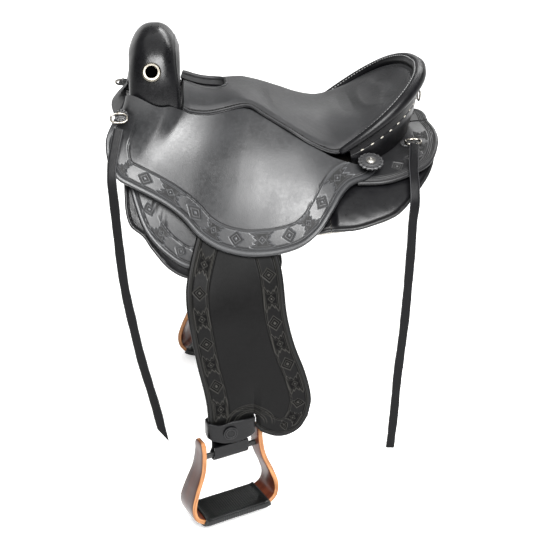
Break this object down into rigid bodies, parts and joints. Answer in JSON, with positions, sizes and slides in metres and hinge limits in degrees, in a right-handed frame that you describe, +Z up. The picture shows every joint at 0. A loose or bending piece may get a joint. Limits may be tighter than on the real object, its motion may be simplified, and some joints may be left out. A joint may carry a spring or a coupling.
{
  "type": "western saddle",
  "caption": "Hornless western saddle with rounded pommel, padded seat, tooled leather jockeys, hanging fenders and wooden stirrups.",
  "frame": {"origin": "on the centre line where the saddle sits on the horse's back, mid-length of the seat", "axes": "-X toward the horse's head, -Y the near (left) side, +Z up"},
  "size_m": [0.5716, 0.6824, 0.7989],
  "materials": {
    "black_leather": "smooth black oiled leather, semi-gloss",
    "tooled_leather": "black leather stamped with borders, semi-gloss",
    "seat_leather": "soft dark grey padded leather",
    "fleece": "sheared wool fleece lining",
    "rawhide": "rawhide-covered wooden tree",
    "wood": "bent laminated wood, varnished",
    "nickel": "polished nickel plate",
    "steel": "dull plated steel"
  },
  "bodies": {
    "saddle": {"cantle_back": "black_leather", "cantle_keeper": "black_leather", "cantle_roll": "black_leather", "fleece_left": "fleece", "fleece_right": "fleece", "fork_cover": "black_leather", "front_rosette_left": "black_leather", "front_rosette_right": "black_leather", "front_skirt_left": "black_leather", "front_skirt_right": "black_leather", "grommet_left": "nickel", "grommet_right": "nickel", "ground_seat": "rawhide", "rear_concho_left": "nickel", "rear_concho_right": "nickel", "rear_jockey_left": "tooled_leather", "rear_jockey_right": "tooled_leather", "rear_rosette_left": "black_leather", "rear_rosette_right": "black_leather", "rear_skirt_left": "black_leather", "rear_skirt_right": "black_leather", "rigging_plate_left": "steel", "rigging_plate_right": "steel", "rigging_skirt_left": "tooled_leather", "rigging_skirt_right": "tooled_leather", "seat": "seat_leather", "seat_jockey_left": "tooled_leather", "seat_jockey_right": "tooled_leather", "stirrup_strap_left": "black_leather", "stirrup_strap_right": "black_leather", "string_rosette_left": "black_leather", "string_rosette_right": "black_leather", "tree_bar_left": "rawhide", "tree_bar_right": "rawhide", "tree_cantle": "rawhide", "tree_fork": "rawhide"},
    "hanging_left": {"fender_left": "tooled_leather", "stirrup_leather_left": "black_leather", "stirrup_buckle_left": "steel", "hobble_strap_left": "black_leather", "hobble_concho_left": "black_leather"},
    "stirrup_left": {"stirrup_left": "wood", "stirrup_bolt_left": "steel", "tread_cover_left": "black_leather"},
    "hanging_right": {"fender_right": "tooled_leather", "stirrup_leather_right": "black_leather", "stirrup_buckle_right": "steel", "hobble_strap_right": "black_leather", "hobble_concho_right": "black_leather"},
    "stirrup_right": {"stirrup_right": "wood", "stirrup_bolt_right": "steel", "tread_cover_right": "black_leather"},
    "front_dee_left": {"front_dee_left": "nickel", "front_string_left": "black_leather"},
    "rear_dee_left": {"rear_dee_left": "nickel", "rear_string_left": "black_leather"},
    "front_dee_right": {"front_dee_right": "nickel"},
    "rear_dee_right": {"rear_dee_right": "nickel"},
    "cantle_dee": {"cantle_dee": "nickel"}
  },
  "joints": [
    {"name": "fender_swing_left", "type": "hinge", "parent": "saddle", "child": "hanging_left", "pos_m": [-0.073, -0.2395, -0.0825], "axis": [-0.9405, 0.3159, 0.1249], "range_deg": [0, 12]},
    {"name": "stirrup_swing_left", "type": "hinge", "parent": "hanging_left", "child": "stirrup_left", "pos_m": [-0.093, -0.283, -0.443], "axis": [0.9135, 0.4067, 0], "range_deg": [-30, 30]},
    {"name": "fender_swing_right", "type": "hinge", "parent": "saddle", "child": "hanging_right", "pos_m": [-0.073, 0.2395, -0.0825], "axis": [0.9405, 0.3159, -0.1249], "range_deg": [0, 12]},
    {"name": "stirrup_swing_right", "type": "hinge", "parent": "hanging_right", "child": "stirrup_right", "pos_m": [-0.093, 0.283, -0.443], "axis": [0.9135, -0.4067, 0], "range_deg": [-30, 30]},
    {"name": "front_dee_left_swing", "type": "hinge", "parent": "saddle", "child": "front_dee_left", "pos_m": [-0.26, -0.10262, 0.10883], "axis": [-1, 0, 0], "range_deg": [0, 70]},
    {"name": "front_dee_right_swing", "type": "hinge", "parent": "saddle", "child": "front_dee_right", "pos_m": [-0.26, 0.10262, 0.10883], "axis": [1, 0, 0], "range_deg": [0, 70]},
    {"name": "rear_dee_left_swing", "type": "hinge", "parent": "saddle", "child": "rear_dee_left", "pos_m": [0.239, -0.09049, 0.04691], "axis": [-1, 0, 0], "range_deg": [0, 70]},
    {"name": "rear_dee_right_swing", "type": "hinge", "parent": "saddle", "child": "rear_dee_right", "pos_m": [0.239, 0.09049, 0.04691], "axis": [1, 0, 0], "range_deg": [0, 70]},
    {"name": "cantle_dee_swing", "type": "hinge", "parent": "saddle", "child": "cantle_dee", "pos_m": [0.264, -0.004, 0.1075], "axis": [0, -1, 0], "range_deg": [0, 80]}
  ]
}
